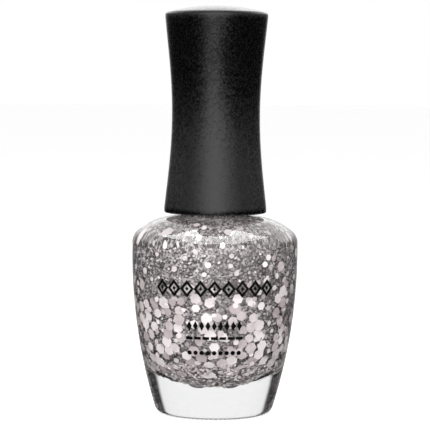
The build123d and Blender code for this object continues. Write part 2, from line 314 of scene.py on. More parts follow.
class Finish(Board):
    """A material with one Principled shader. feeds are the values that are the same all over it."""

    def __init__(self, name, feeds):
        self.material = bpy.data.materials.new(name)
        self.material.use_nodes = True
        self.material.node_tree.nodes.clear()
        super().__init__(self.material.node_tree)
        self.shader = self.node("ShaderNodeBsdfPrincipled", feeds=feeds)
        self.surface = Wire(self, self.shader.outputs[0])
        self.output = self.node("ShaderNodeOutputMaterial", feeds={"Surface": self.surface})

    def vary(self, **feeds):
        """Feeds what changes over the surface, such as Base_Color, and gives the material."""
        for name, value in feeds.items():
            self.feed(self.shader.inputs[name.replace("_", " ")], value)
        return self.material

    def unless(self, where, other):
        """Shows another shader where the mask is 1."""
        feeds = {0: where, 1: self.surface, 2: other}
        self.feed(self.output.inputs["Surface"], self.wire("ShaderNodeMixShader", feeds=feeds))

    def place(self):
        return self.wire("ShaderNodeTexCoord", out="Object")


def pale_floor():
    feeds = {"Base Color": (0.8, 0.8, 0.8, 1), "Roughness": 0.9}
    feeds.update({"Emission Color": (1, 1, 1, 1), "Emission Strength": 0.55})
    board = Finish("pale_floor", feeds)
    from_below = board.wire("ShaderNodeNewGeometry", out="Backfacing")
    board.unless(from_below, board.wire("ShaderNodeBsdfTransparent"))
    return board.material


bm = bmesh.new()
bmesh.ops.create_circle(bm, cap_ends=True, segments=96, radius=FLOOR_RADIUS)
floor = built("floor", bm)
floor.data.materials.append(pale_floor())
floor.visible_transmission = False
floor.visible_glossy = False
print("floor radius", FLOOR_RADIUS, "m")

# %% [markdown]
# ## Turned shapes
#
# Glass, liquid and cap are all bodies of revolution. They could be Screw modifiers on a profile, but
# the glass also carries a thread and fine marks that depend on the angle. So a small lathe in Python
# turns a profile into rings, and an optional `relief` pushes each point out or in by its angle.
# Profiles are written in millimetres, which are easier to think in, and scaled at the end.


# %% Profile pieces and the lathe
CREASE = 40.0


def line(start, end, steps=1):
    return [tuple(Vector(start).lerp(Vector(end), i / steps)) for i in range(1, steps + 1)]


def bend(start, start_way, end, end_way, steps):
    """A smooth curve that leaves start along start_way and arrives at end along end_way."""
    start, end = Vector(start), Vector(end)
    reach = (end - start).length
    leave = Vector(start_way).normalized() * reach
    arrive = Vector(end_way).normalized() * reach
    points = []
    for i in range(1, steps + 1):
        t = i / steps
        point = (
            start * (2 * t**3 - 3 * t**2 + 1)
            + leave * (t**3 - 2 * t**2 + t)
            + end * (3 * t**2 - 2 * t**3)
            + arrive * (t**3 - t**2)
        )
        points.append(tuple(point))
    return points


def lathe(name, profile, segments, relief=None):
    """A closed turned mesh. The profile runs from axis to axis, or is a closed loop off the axis."""
    bm = bmesh.new()
    rings = []
    for radius, height in profile:
        if radius < 1e-4:
            rings.append([bm.verts.new((0, 0, height * MM))])
            continue
        ring = []
        for k in range(segments):
            angle = 2 * math.pi * k / segments
            dr, dz = relief(angle, radius, height) if relief else (0.0, 0.0)
            r = (radius + dr) * MM
            ring.append(bm.verts.new((r * math.cos(angle), r * math.sin(angle), (height + dz) * MM)))
        rings.append(ring)
    closed = len(rings[0]) > 1
    pairs = list(zip(rings, rings[1:] + rings[:1] if closed else rings[1:]))
    for lower, upper in pairs:
        for k in range(segments):
            n = (k + 1) % segments
            if len(lower) == 1:
                bm.faces.new((lower[0], upper[n], upper[k]))
            elif len(upper) == 1:
                bm.faces.new((lower[k], lower[n], upper[0]))
            else:
                bm.faces.new((lower[k], lower[n], upper[n], upper[k]))
    bmesh.ops.recalc_face_normals(bm, faces=bm.faces)
    piece = built(name, bm)
    piece.data.shade_smooth()
    piece.data.set_sharp_from_angle(angle=math.radians(CREASE))
    print(name, "has", len(piece.data.polygons), "faces")
    return piece


# %% [markdown]
# ## The glass
#
# The bottle is one moulded piece: a thick clear base, a barrel side that is one long arc in profile,
# a tight shoulder, and a neck with a screw thread. The sizes are the moulder's, in millimetres.
# The widest radius is measured from the frame, so that the dressed bottle cannot drift from it.

# %% Sizes of the glass
glass_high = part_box("glass_bottle")[1]
BODY_R = glass_high.x / MM
LIP_Z = glass_high.z / MM
BODY_Z, SIDE_ARC_R, WALL = 32.0, 104.0, 2.2
HEEL_Z, BEARING_OUT_R, BEARING_IN_R = 1.15, 10.26, 9.3
PUSH_UP_R, PUSH_UP_Z = 8.5, 0.8
BOWL_Z, BOWL_ARC_R, BOWL_R, BEND_Z = 6.2, 14.5, 10.6, 15.9
BOWL_CENTRE_Z = BOWL_Z + BOWL_ARC_R
SHOULDER_Z, SHOULDER_R, SLOPE_TOP, NECK_FOOT = 34.0, 3.0, (12.8, 38.0), (6.7, 39.4)
NECK_R, NECK_FOOT_Z, NECK_BORE_R, BORE_Z, LIP_ROUND = 5.75, 40.3, 3.6, 41.0, 0.5
THREAD_Z, THREAD_PITCH, THREAD_TURNS, THREAD_DEPTH = 44.6, 2.1, 1.5, 0.7
print("widest radius", round(BODY_R, 2), "mm, lip at", round(LIP_Z, 2), "mm")


def side_radius(height):
    return BODY_R - SIDE_ARC_R + math.sqrt(SIDE_ARC_R**2 - (BODY_Z - height) ** 2)


def side(low, high, inset, steps):
    """Points up the long arc of the side, moved inwards by inset."""
    heights = [low + (high - low) * i / steps for i in range(steps + 1)]
    return [(side_radius(z) - inset, z) for z in heights]


def cavity(inset, top_z=None):
    """The inner face from the middle of the bowl-shaped floor upwards, moved inwards by inset."""
    arc_r = BOWL_ARC_R - inset
    last = math.asin(BOWL_R / BOWL_ARC_R)
    angles = np.linspace(0, last, 18)
    points = [(arc_r * math.sin(a), BOWL_CENTRE_Z - arc_r * math.cos(a)) for a in angles]
    inner_r = BODY_R - WALL - inset
    bend_end = (side_radius(BEND_Z) - WALL - inset, BEND_Z)
    points += bend(points[-1], (math.cos(last), math.sin(last)), bend_end, (0.155, 1), 10)
    points += side(BEND_Z, BODY_Z, WALL + inset, 22)[1:]
    points += line((inner_r, BODY_Z), (inner_r, 33.0), 2)
    points += bend((inner_r, 33.0), (0, 1), (13.2 - inset * 0.8, 35.2 - inset * 0.6), (-0.8, 0.6), 9)
    points += bend(points[-1], (-0.8, 0.6), (8.6, 37.2 - inset), (-0.95, 0.3), 9)
    points += bend(points[-1], (-0.95, 0.3), (NECK_BORE_R - inset * 0.5, BORE_Z), (0, 1), 10)
    return points if top_z is None else [p for p in points if p[1] <= top_z]


# %% [markdown]
# The thread is a ridge that climbs round the neck. On the lathe it is a relief: for a point at some
# angle and height, the nearest turn of the helix says how far the ridge stands out there. The ends of
# the ridge fade out over a fifth of a turn, as a mould cuts them.
#
# The foot of a glass bottle is never quite smooth either. A ring of short notches, the stippling,
# keeps the hot glass from sticking to the conveyor and shows as a dashed line at the foot.

# %% Thread, stippling and the glass piece
STIPPLES, STIPPLE_DEPTH, STIPPLE_TOP_Z = 72, 0.16, 0.35
RIDGE_HALF_WIDTH, RIDGE_FLANK, RIDGE_FADE_TURNS, RIDGE_FOOT_Z = 0.55, 0.3, 0.2, 43.4
SHOULDER_CENTRE_R, SHOULDER_TURN = 13.5, 0.9273


def ridge_height(turns, offset):
    """How far the thread stands out, by turns along the helix and height from its middle."""
    if not 0 <= turns <= THREAD_TURNS:
        return 0.0
    fade = min(1.0, turns / RIDGE_FADE_TURNS, (THREAD_TURNS - turns) / RIDGE_FADE_TURNS)
    flank = min(1.0, max(0.0, (RIDGE_HALF_WIDTH - abs(offset)) / RIDGE_FLANK))
    return THREAD_DEPTH * fade * flank * flank * (3 - 2 * flank)


def glass_relief(angle, radius, height):
    turn = angle / (2 * math.pi)
    if 43.0 < height < LIP_Z - LIP_ROUND and radius > 5.0:
        start = height - THREAD_Z
        heights = [ridge_height(turn + k, start - THREAD_PITCH * (turn + k)) for k in (0, 1)]
        return max(heights), 0.0
    if height < STIPPLE_TOP_Z and 9.2 < radius < 11.0:
        notch = 0.5 + 0.5 * math.cos(angle * STIPPLES)
        return 0.0, STIPPLE_DEPTH * notch
    return 0.0, 0.0


def outer_wall():
    points = [(0.0, PUSH_UP_Z), (3.0, PUSH_UP_Z), (6.0, PUSH_UP_Z), (PUSH_UP_R - 0.2, PUSH_UP_Z)]
    points += bend(points[-1], (1, 0), (BEARING_IN_R, 0.05), (0.7, -0.7), 6)
    points += line(points[-1], (9.6, 0.0)) + line((9.6, 0.0), (BEARING_OUT_R, 0.0), 3)
    heel = (side_radius(HEEL_Z), HEEL_Z)
    points += bend((BEARING_OUT_R, 0.0), (1, 0), heel, (0.3, 0.95), 10)
    points += side(HEEL_Z, BODY_Z, 0.0, 40)[1:]
    points += line((BODY_R, BODY_Z), (BODY_R, SHOULDER_Z), 3)
    for angle in np.linspace(0, SHOULDER_TURN, 15)[1:]:
        out, rise = SHOULDER_R * math.cos(angle), SHOULDER_R * math.sin(angle)
        points.append((SHOULDER_CENTRE_R + out, SHOULDER_Z + rise))
    points += bend(points[-1], (-0.8, 0.6), SLOPE_TOP, (-0.89, 0.45), 8)
    points += bend(SLOPE_TOP, (-0.89, 0.45), NECK_FOOT, (-1, 0.07), 12)
    points += bend(NECK_FOOT, (-1, 0.07), (NECK_R, NECK_FOOT_Z), (0, 1), 6)
    points += line((NECK_R, NECK_FOOT_Z), (NECK_R, RIDGE_FOOT_Z), 6)
    points += line((NECK_R, RIDGE_FOOT_Z), (NECK_R, LIP_Z - 1.2), 62)
    points += line(points[-1], (NECK_R, LIP_Z - LIP_ROUND), 3)
    points += bend(points[-1], (0, 1), (NECK_R - LIP_ROUND, LIP_Z), (-1, 0), 6)
    points += line(points[-1], (NECK_BORE_R + LIP_ROUND, LIP_Z), 3)
    points += bend(points[-1], (-1, 0), (NECK_BORE_R, LIP_Z - LIP_ROUND), (0, -1), 6)
    return points


glass_profile = outer_wall() + line((NECK_BORE_R, LIP_Z - LIP_ROUND), (NECK_BORE_R, 41.3), 8)
glass_profile += list(reversed(cavity(0.0)))
glass = lathe("glass_bottle_clear", glass_profile, segments=288, relief=glass_relief)
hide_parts("glass_bottle")
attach(glass, "bottle")
lit_by_strip = bpy.data.collections.new("lit_by_strip")
lit_by_strip.objects.link(glass)
strip.light_linking.receiver_collection = lit_by_strip

# %% [markdown]
# Clear glass is one Principled shader with full transmission. Its outer face bends and mirrors
# light. Below the filling line the inner face is wet, and lacquer bends light almost exactly as
# glass does, so that face must not bend anything: it gets a fully see-through shader. Without it the
# liquid would look like a silvered tube. Lamps are let straight through to keep the grain down. The
# stippled foot has a finish of its own: its dents scatter light, and its grey colour is painted shade
# that draws a thin dark line along the foot.

# %% Glass finishes
FILL_Z = 37.4


def clear_glass():
    feeds = {
        "Base Color": (0.985, 0.99, 0.988, 1),
        "Roughness": 0.0,
        "IOR": 1.5,
        "Transmission Weight": 1.0,
    }
    board = Finish("clear_glass", feeds)
    lamp_ray = board.wire("ShaderNodeLightPath", out="Is Shadow Ray")
    open_way = board.wire("ShaderNodeBsdfTransparent", feeds={"Color": (0.97, 0.97, 0.97, 1)})
    board.unless(lamp_ray, open_way)
    ripple = board.noise(board.place(), 130.0, 1.0)
    return board.vary(Normal=board.dented(ripple, 0.08, 0.4 * MM))


def stippled_foot():
    # Painted shade: the grey base colour, with part of the light not let through, darkens the foot into
    # a thin dark line.
    feeds = {"Base Color": (0.24, 0.24, 0.25, 1), "IOR": 1.5, "Transmission Weight": 0.6}
    board = Finish("stippled_foot", feeds)
    return board.vary(Roughness=0.25 + board.noise(board.place(), 3000.0, 1.0) * 0.35)


def wet_wall():
    material = bpy.data.materials.new("wet_wall")
    material.use_nodes = True
    material.node_tree.nodes.clear()
    board = Board(material.node_tree)
    through = board.wire("ShaderNodeBsdfTransparent", feeds={"Color": (1, 1, 1, 1)})
    board.node("ShaderNodeOutputMaterial", feeds={"Surface": through})
    return material


for finish in (clear_glass(), wet_wall(), stippled_foot()):
    glass.data.materials.append(finish)
WET, STIPPLED = 1, 2
FOOT_Z, WALL_SLACK, BOWL_SLACK = 0.5, 0.15, 0.05
wet_faces = 0
for face in glass.data.polygons:
    middle = face.center / MM
    reach = side_radius(max(middle.z, 1.0)) if middle.z < BODY_Z else BODY_R
    within = math.hypot(middle.x, middle.y) < reach - WALL + WALL_SLACK
    below_line = BOWL_Z - BOWL_SLACK < middle.z < FILL_Z
    inwards = face.normal.x * middle.x + face.normal.y * middle.y < 0
    if within and below_line and (inwards or face.normal.z > 0.99):
        face.material_index = WET
        wet_faces += 1
    elif middle.z < FOOT_Z:
        face.material_index = STIPPLED
print("wet faces of the glass:", wet_faces)

# %% [markdown]
# ## The polish
#
# Glitter polish is clear lacquer crowded with three things: a fine silver glitter, small silver
# hexagons, and larger pale hexagons. Painting all that as one pattern would look flat, because in
# the bottle the flakes lie at different depths, tilt, overlap and shade each other. So the liquid is
# built in layers: a dark glittering core a millimetre in from the wall, and real flakes in front.
#
# The core keeps the well that the brush hangs in. The two mixing balls roll up either side of the
# bowl-shaped floor, so a curved trough is cut out of the core for them with a Boolean: a tube bent
# round the bowl's centre, with round ends. Nothing solid may stand in their way.

# %% Core of the liquid
CORE_INSET, CORE_FLOOR_INSET = 1.1, 0.4
WELL_R, WELL_FLOOR_Z = 2.45, 10.4
BALL_R, BALL_ROOM, BALL_ROLL = 2.0, 0.4, math.radians(20)
ball_low, ball_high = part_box("mixing_ball_a")
ball_x = (ball_low.x + ball_high.x) / 2 / MM
ball_drop = BOWL_CENTRE_Z - (ball_low.z + ball_high.z) / 2 / MM
BALL_PATH_R = math.hypot(ball_x, ball_drop)
PATH_END = math.atan2(ball_x, ball_drop) + BALL_ROLL


def between(rings):
    """The four corners of each face between one ring and the next."""
    for lower, upper in zip(rings, rings[1:]):
        for k in range(len(lower)):
            n = (k + 1) % len(lower)
            yield lower[k], lower[n], upper[n], upper[k]


def trough(radius, around=24, along=30):
    """A tube bent round the bowl's centre from one end of the balls' path to the other."""
    bm = bmesh.new()
    rings = []
    cap_angles = [math.pi / 2 * (1 - (i + 0.5) / 6) for i in range(6)]
    stops = [(-PATH_END, -math.sin(c), math.cos(c)) for c in cap_angles]
    stops += [(a, 0.0, 1.0) for a in np.linspace(-PATH_END, PATH_END, along)]
    stops += [(PATH_END, math.sin(c), math.cos(c)) for c in reversed(cap_angles)]
    for angle, beyond, width in stops:
        across, drop = BALL_PATH_R * math.sin(angle), BALL_PATH_R * math.cos(angle)
        middle = Vector((across, 0, BOWL_CENTRE_Z - drop))
        ahead = Vector((math.cos(angle), 0, math.sin(angle)))
        inwards = Vector((-math.sin(angle), 0, math.cos(angle)))
        middle = middle + ahead * radius * beyond
        ring = []
        for k in range(around):
            turn = 2 * math.pi * k / around
            arm = inwards * math.cos(turn) + Vector((0, 1, 0)) * math.sin(turn)
            ring.append(bm.verts.new((middle + arm * radius * width) * MM))
        rings.append(ring)
    for corners in between(rings):
        bm.faces.new(corners)
    bm.faces.new(rings[0])
    bm.faces.new(rings[-1])
    bmesh.ops.recalc_face_normals(bm, faces=bm.faces)
    return built("trough_cutter", bm)


CORE_TOP_Z = FILL_Z - 0.05
core_profile = [p for p in cavity(CORE_FLOOR_INSET) if p[0] < BOWL_R - 0.5]
wall_points = [p for p in cavity(CORE_INSET, CORE_TOP_Z) if p[1] > BEND_Z - 2.0]
core_profile += bend(core_profile[-1], (0.7, 0.7), wall_points[0], (0.2, 1), 6)
core_profile += wall_points[1:]
core_profile += line(core_profile[-1], (WELL_R + 0.4, CORE_TOP_Z), 4) + [(WELL_R, FILL_Z)]
core_profile += line((WELL_R, FILL_Z), (WELL_R, WELL_FLOOR_Z), 12)
core_profile += [(1.2, WELL_FLOOR_Z), (0.0, WELL_FLOOR_Z)]
uncut = lathe("polish_uncut", core_profile, segments=160)
cutter = trough(BALL_R + BALL_ROOM)
carve = uncut.modifiers.new("carve", "BOOLEAN")
carve.object = cutter
carve.operation = "DIFFERENCE"
carve.solver = "EXACT"
depsgraph = bpy.context.evaluated_depsgraph_get()
carved = bpy.data.meshes.new_from_object(uncut.evaluated_get(depsgraph))
carved.name = "polish_core"
core = placed("polish_core", carved)
bpy.data.objects.remove(uncut)
bpy.data.objects.remove(cutter)
core.data.materials.clear()
print("core has", len(carved.polygons), "faces, balls roll on radius", round(BALL_PATH_R, 2), "mm")
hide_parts("polish")
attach(core, "bottle")

# %% [markdown]
# The fine glitter of the core is too small to model, under a third of a millimetre across. A Voronoi
# pattern cuts the surface into cells. Each cell gets its own brightness and its own tilt, so that
# some cells catch the tent and others its dark side, as loose glitter does.

# %% Fine glitter finish
FINE_CELL = 0.3 * MM
FINE_TILT = 0.7


def fine_glitter():
    board = Finish("fine_glitter", {"Roughness": 0.42, "Metallic": 0.25})
    place = board.place()
    cell_feeds = {"Vector": place, "Scale": 1.0 / FINE_CELL}
    cells = board.wire("ShaderNodeTexVoronoi", feeds=cell_feeds, out="Color")
    shade = board.split(cells)[0]
    clumps = board.noise(place, 420.0, 2.0)
    level = board.smooth(shade * 0.75 + clumps * 0.5, 0.25, 1.0)
    stops = [
        (0.0, (0.100, 0.080, 0.083, 1)),
        (0.4, (0.20, 0.172, 0.176, 1)),
        (0.75, (0.33, 0.30, 0.305, 1)),
        (1.0, (0.62, 0.585, 0.585, 1)),
    ]
    colour = board.wire("ShaderNodeValToRGB", {"stops": stops}, {"Fac": level})
    return board.vary(Base_Color=colour, Normal=board.tilted(cells, FINE_TILT))


core.data.materials.append(fine_glitter())
print("fine glitter cells are", FINE_CELL / MM, "mm across")

# %% [markdown]
# The visible flakes are hexagons cut from foil, so one small prism stands for each. Geometry Nodes
# scatter them over a hidden host surface just inside the wall. Each point gets a random depth, a
# random turn and a small tilt, and a random tint that the finish reads later. There are more large
# flakes low down, where they settle.


# %% Flake scatter tree
def open_tree(name, sizes, seed):
    """A tree with a mesh in and out, named sizes, a seed and a finish, and a wire for each input."""
    tree = bpy.data.node_groups.new(name, "GeometryNodeTree")
    tree.interface.new_socket("Geometry", in_out="INPUT", socket_type="NodeSocketGeometry")
    tree.interface.new_socket("Geometry", in_out="OUTPUT", socket_type="NodeSocketGeometry")
    for size, value in sizes.items():
        socket = tree.interface.new_socket(size, in_out="INPUT", socket_type="NodeSocketFloat")
        socket.default_value = value
    socket = tree.interface.new_socket("Seed", in_out="INPUT", socket_type="NodeSocketInt")
    socket.default_value = seed
    tree.interface.new_socket("Finish", in_out="INPUT", socket_type="NodeSocketMaterial")
    board = Board(tree)
    group = board.node("NodeGroupInput")
    given = {output.name: Wire(board, output) for output in group.outputs if output.name}
    return board, given


def flake_tree():
    sizes = {
        "Radius": 1.0 * MM,
        "Thickness": 0.04 * MM,
        "Spacing": 1.0 * MM,
        "Density": 1e6,
        "Tilt": 0.2,
        "Depth": 0.4 * MM,
        "Sparse height": 0.03,
        "Full height": 0.015,
        "Sparse share": 0.3,
    }
    board, given = open_tree("scatter_flakes", sizes, 1)

    def chance(low, high, seed):
        """A random number for each flake."""
        feeds = {2: low, 3: high, "Seed": seed}
        return board.wire("FunctionNodeRandomValue", {"data_type": "FLOAT"}, feeds, out=1)

    place = board.wire("GeometryNodeInputPosition")
    height = board.split(place)[2]
    ramp = {"Value": height, "From Min": given["Full height"], "From Max": given["Sparse height"]}
    ramp.update({"To Min": 1.0, "To Max": given["Sparse share"]})
    share = board.wire("ShaderNodeMapRange", feeds=ramp)
    spread = {"Mesh": given["Geometry"], "Distance Min": given["Spacing"]}
    spread.update({"Density Max": given["Density"], "Density Factor": share, "Seed": given["Seed"]})
    points = board.node("GeometryNodeDistributePointsOnFaces", {"distribute_method": "POISSON"}, spread)
    normal = Wire(board, points.outputs["Normal"])

    depth = chance(-given["Depth"], given["Depth"], given["Seed"])
    shift = board.wire("ShaderNodeVectorMath", {"operation": "SCALE"}, {0: normal, "Scale": depth})
    move_feeds = {0: Wire(board, points.outputs[0]), "Offset": shift}
    moved = board.wire("GeometryNodeSetPosition", feeds=move_feeds)

    low = board.wire("ShaderNodeCombineXYZ", feeds={0: -given["Tilt"], 1: -given["Tilt"], 2: 0.0})
    high = board.wire("ShaderNodeCombineXYZ", feeds={0: given["Tilt"], 1: given["Tilt"], 2: math.pi})
    turn = board.wire(
        "FunctionNodeRandomValue",
        {"data_type": "FLOAT_VECTOR"},
        {0: low, 1: high, "Seed": given["Seed"] + 7.0},
        out=0,
    )
    turn = board.wire("FunctionNodeEulerToRotation", feeds={0: turn})
    lying = Wire(board, points.outputs["Rotation"])
    turned = board.wire("FunctionNodeRotateRotation", {"rotation_space": "LOCAL"}, {0: lying, 1: turn})
    size = chance(0.78, 1.15, given["Seed"] + 3.0)
    prism_feeds = {"Vertices": 6, "Radius": given["Radius"], "Depth": given["Thickness"]}
    prism = board.wire("GeometryNodeMeshCylinder", feeds=prism_feeds)
    laid = board.wire(
        "GeometryNodeInstanceOnPoints",
        feeds={"Points": moved, "Instance": prism, "Rotation": turned, "Scale": size},
    )
    tint = chance(0.0, 1.0, given["Seed"] + 5.0)
    tinted = board.wire(
        "GeometryNodeStoreNamedAttribute",
        {"data_type": "FLOAT", "domain": "INSTANCE"},
        {0: laid, "Name": "tint", "Value": tint},
    )
    solid = board.wire("GeometryNodeRealizeInstances", feeds={0: tinted})
    finished = board.wire("GeometryNodeSetMaterial", feeds={0: solid, "Material": given["Finish"]})
    board.node("NodeGroupOutput", feeds={0: finished})
    return board.tree


FLAKES = flake_tree()
print("flake tree has", len(FLAKES.nodes), "nodes")

# %% [markdown]
# A modifier's inputs are set by identifier before the host is first evaluated. The result is then
# read back as a plain mesh, and the host with its modifier is thrown away.


# %% Grow a mesh from a tree
def grow(name, host, tree, values):
    """A plain mesh piece made by the tree on the host. values are keyed by input name."""
    modifier = host.modifiers.new(name, "NODES")
    modifier.node_group = tree
    for item in tree.interface.items_tree:
        if item.item_type == "SOCKET" and item.in_out == "INPUT" and item.name in values:
            modifier[item.identifier] = values[item.name]
    depsgraph = bpy.context.evaluated_depsgraph_get()
    mesh = bpy.data.meshes.new_from_object(host.evaluated_get(depsgraph))
    mesh.name = name
    host.modifiers.remove(modifier)
    print(name, "has", len(mesh.polygons), "faces")
    return placed(name, mesh)


TROUGH_HALF_WIDTH = BALL_R + BALL_ROOM + 0.2
TROUGH_HALF_LENGTH = BALL_PATH_R * math.sin(PATH_END) + BALL_R + 0.8
TROUGH_TOP_Z = 13.0


def in_trough(x, y, z):
    """Whether a flake here, in millimetres, would lie in the balls' way."""
    return abs(y) < TROUGH_HALF_WIDTH and abs(x) < TROUGH_HALF_LENGTH and z < TROUGH_TOP_Z


def flake_host(points):
    """An open skin turned from the points, for flakes to lie on, with a gap where the balls roll."""
    bm = bmesh.new()
    segments = 96
    rings = []
    for radius, height in points:
        ring = []
        for k in range(segments):
            angle = 2 * math.pi * k / segments
            x, y = radius * MM * math.cos(angle), radius * MM * math.sin(angle)
            ring.append(bm.verts.new((x, y, height * MM)))
        rings.append(ring)
    for corners in between(rings):
        middle = sum((corner.co for corner in corners), Vector()) / 4 / MM
        if not in_trough(*middle):
            bm.faces.new(corners)
    return built("flake_host", bm)


# %% [markdown]
# There are two foils. The large and medium flakes, and the small ones on the floor, are a pale,
# slightly pink satin film, not a mirror. The other small ones are silver, with soft scratches. The
# tint attribute makes no two quite alike.


# %% Flake finishes
def foil(name, dark, light, metallic, roughness, lean):
    feeds = {"Roughness": roughness, "Metallic": metallic}
    board = Finish(name, {**feeds, "Coat Weight": 0.3, "Coat Roughness": 0.1})
    tint_settings = {"attribute_name": "tint", "attribute_type": "GEOMETRY"}
    tint = board.wire("ShaderNodeAttribute", tint_settings, out="Fac")
    place = board.place()
    cloud = board.noise(place, 900.0, 2.0)
    level = board.smooth(tint * 0.8 + cloud * 0.4, 0.1, 1.05)
    grain = board.dented(board.noise(place, 5200.0, 1.0), lean, 0.05 * MM)
    return board.vary(Base_Color=board.blend(level, dark, light), Normal=grain)


pale_foil = foil("pale_foil", (0.46, 0.39, 0.40, 1), (0.93, 0.865, 0.865, 1), 0.0, 0.42, 0.25)
silver_foil = foil("silver_foil", (0.08, 0.068, 0.071, 1), (0.66, 0.63, 0.635, 1), 0.35, 0.42, 0.5)

FRONT_INSET, BACK_INSET, FLOOR_HOST_INSET = 0.40, 0.82, 0.2
LARGE_FLOOR_Z = 9.0
FRONT_TOP_Z, BACK_TOP_Z, FLOOR_TOP_Z = 38.4, 38.2, LARGE_FLOOR_Z + 2.5
floor_skin = [p for p in cavity(FLOOR_HOST_INSET) if p[0] > 1.0 and p[1] < FLOOR_TOP_Z]
hosts = {
    "front": flake_host([p for p in cavity(FRONT_INSET, FRONT_TOP_Z) if p[1] > LARGE_FLOOR_Z]),
    "back": flake_host([p for p in cavity(BACK_INSET, BACK_TOP_Z) if p[1] > LARGE_FLOOR_Z]),
    "floor": flake_host(floor_skin),
}
# name, host, finish, radius, spacing, density, tilt, depth, sparse above, full below, sparse share, seed
FLAKE_SIZES = (
    ("flakes_large", "front", pale_foil, 1.10, 1.6, 0.36, 0.12, 0.20, 28.0, 22.0, 0.06, 11),
    ("flakes_medium", "front", pale_foil, 0.58, 1.2, 0.28, 0.3, 0.20, 34.0, 20.0, 0.5, 23),
    ("flakes_silver", "back", silver_foil, 0.26, 0.36, 2.9, 0.6, 0.24, 38.0, 14.0, 1.0, 37),
    ("flakes_floor", "floor", pale_foil, 0.27, 0.36, 2.6, 0.35, 0.10, 10.0, 6.0, 1.0, 53),
)
for name, place, finish, radius, spacing, density, tilt, *rest in FLAKE_SIZES:
    depth, sparse_z, full_z, share, seed = rest
    values = {
        "Radius": radius * MM,
        "Thickness": 0.05 * MM,
        "Spacing": spacing * MM,
        "Density": density / MM**2,
        "Tilt": tilt,
        "Depth": depth * MM,
        "Sparse height": sparse_z * MM,
        "Full height": full_z * MM,
        "Sparse share": share,
        "Seed": seed,
        "Finish": finish,
    }
    flakes = grow(name, hosts[place], FLAKES, values)
    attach(flakes, "bottle")
for host in hosts.values():
    bpy.data.objects.remove(host)

# %% [markdown]
# ## The cap
#
# The overcap is a plastic shell with a waist and a domed top, coated in soft-touch black. It is
# turned here again at a finer pitch than the frame's, because a long highlight runs down it and would
# show every facet. Its side is one smooth curve through five radii. Inside is the stepped socket
# that the threaded insert is pressed into.

# %% Outer cap piece
CAP_SIDE_POINTS = ((10.18, 40.9), (9.17, 50.3), (8.75, 58.8), (9.17, 68.6), (10.18, 78.6))
cap_low, cap_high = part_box("outer_cap")
CAP_BOTTOM_Z, CAP_TOP_Z, CAP_R = cap_low.z / MM, cap_high.z / MM, cap_high.x / MM
CAP_RIM_Z, CAP_FOOT_Z = 79.5, 40.9
ROOF_R, ROOF_Z, WELL_TOP_R, WELL_TOP_Z = 5.0, 78.0, 6.5, 76.5
STEP_Z, STEP_IN_R, SOCKET_R, MOUTH_R = 54.4, 7.0, 7.9, 8.3
EDGE_ROUND, RIM_ROUND = 0.35, 0.42
DOME_RISE = CAP_TOP_Z - CAP_RIM_Z
DOME_R = (CAP_R**2 + DOME_RISE**2) / (2 * DOME_RISE)
cap_curve = np.polyfit([z for _, z in CAP_SIDE_POINTS], [r for r, _ in CAP_SIDE_POINTS], 4)


def dome(radius):
    return CAP_TOP_Z - DOME_R + math.sqrt(DOME_R**2 - radius**2)


def cap_profile():
    points = [(0.0, ROOF_Z), (ROOF_R, ROOF_Z)]
    points += bend(points[-1], (1, 0), (WELL_TOP_R, WELL_TOP_Z), (0, -1), 6)
    points += line((WELL_TOP_R, WELL_TOP_Z), (STEP_IN_R, STEP_Z), 10) + [(SOCKET_R, STEP_Z)]
    points += line((SOCKET_R, STEP_Z), (SOCKET_R, CAP_BOTTOM_Z + 0.4), 10)
    points += [(MOUTH_R, CAP_BOTTOM_Z), (CAP_R - EDGE_ROUND, CAP_BOTTOM_Z)]
    points += bend(points[-1], (1, 0), (CAP_R, CAP_BOTTOM_Z + EDGE_ROUND), (0, 1), 6)
    points += line(points[-1], (CAP_R, CAP_FOOT_Z), 2)
    heights = np.linspace(CAP_FOOT_Z, CAP_SIDE_POINTS[-1][1], 90)[1:]
    points += [(float(np.polyval(cap_curve, z)), z) for z in heights]
    rim_start = (CAP_R, CAP_RIM_Z - RIM_ROUND)
    rim_end = (CAP_R - RIM_ROUND, dome(CAP_R - RIM_ROUND))
    points += [rim_start] + bend(rim_start, (0, 1), rim_end, (-0.93, 0.37), 7)
    points += [(r, dome(r)) for r in np.linspace(CAP_R - RIM_ROUND, 0.3, 30)[1:]]
    return points + [(0.0, CAP_TOP_Z)]


cap = lathe("outer_cap_shell", cap_profile(), segments=224)
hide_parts("outer_cap")
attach(cap, "cap")

# %% [markdown]
# Soft-touch lacquer is a deep black with a fine tooth. Straight on it is nearly matte. At grazing
# angles any smooth coating turns into a mirror, which is why the shallow dome looks pale grey against
# the black side. A fine noise speckles its colour and roughness. Over that, a Voronoi pattern cuts
# the coat into tiny grains, and each one tilts the surface its own way.


# %% Soft-touch black
GRAIN_TILT = 0.13


def soft_touch():
    feeds = {"IOR": 1.5, "Coat Weight": 0.35, "Coat Roughness": 0.16}
    board = Finish("soft_touch_black", feeds)
    place = board.place()
    tooth = board.noise(place, 2600.0, 2.0)
    grain_feeds = {"Vector": place, "Scale": 3200.0}
    grains = board.wire("ShaderNodeTexVoronoi", feeds=grain_feeds, out="Color")
    handling = board.noise(place, 160.0, 3.0)
    level = board.smooth(tooth, 0.35, 0.75)
    colour = board.blend(level, (0.0001, 0.0001, 0.0001, 1), (0.0014, 0.0013, 0.0014, 1))
    roughness = 0.17 + tooth * 0.14 + handling * 0.05
    tilt = board.tilted(grains, GRAIN_TILT)
    return board.vary(Base_Color=colour, Roughness=roughness, Normal=tilt)


cap.data.materials.append(soft_touch())
print("cap from", round(CAP_BOTTOM_Z, 1), "to", round(CAP_TOP_Z, 1), "mm")

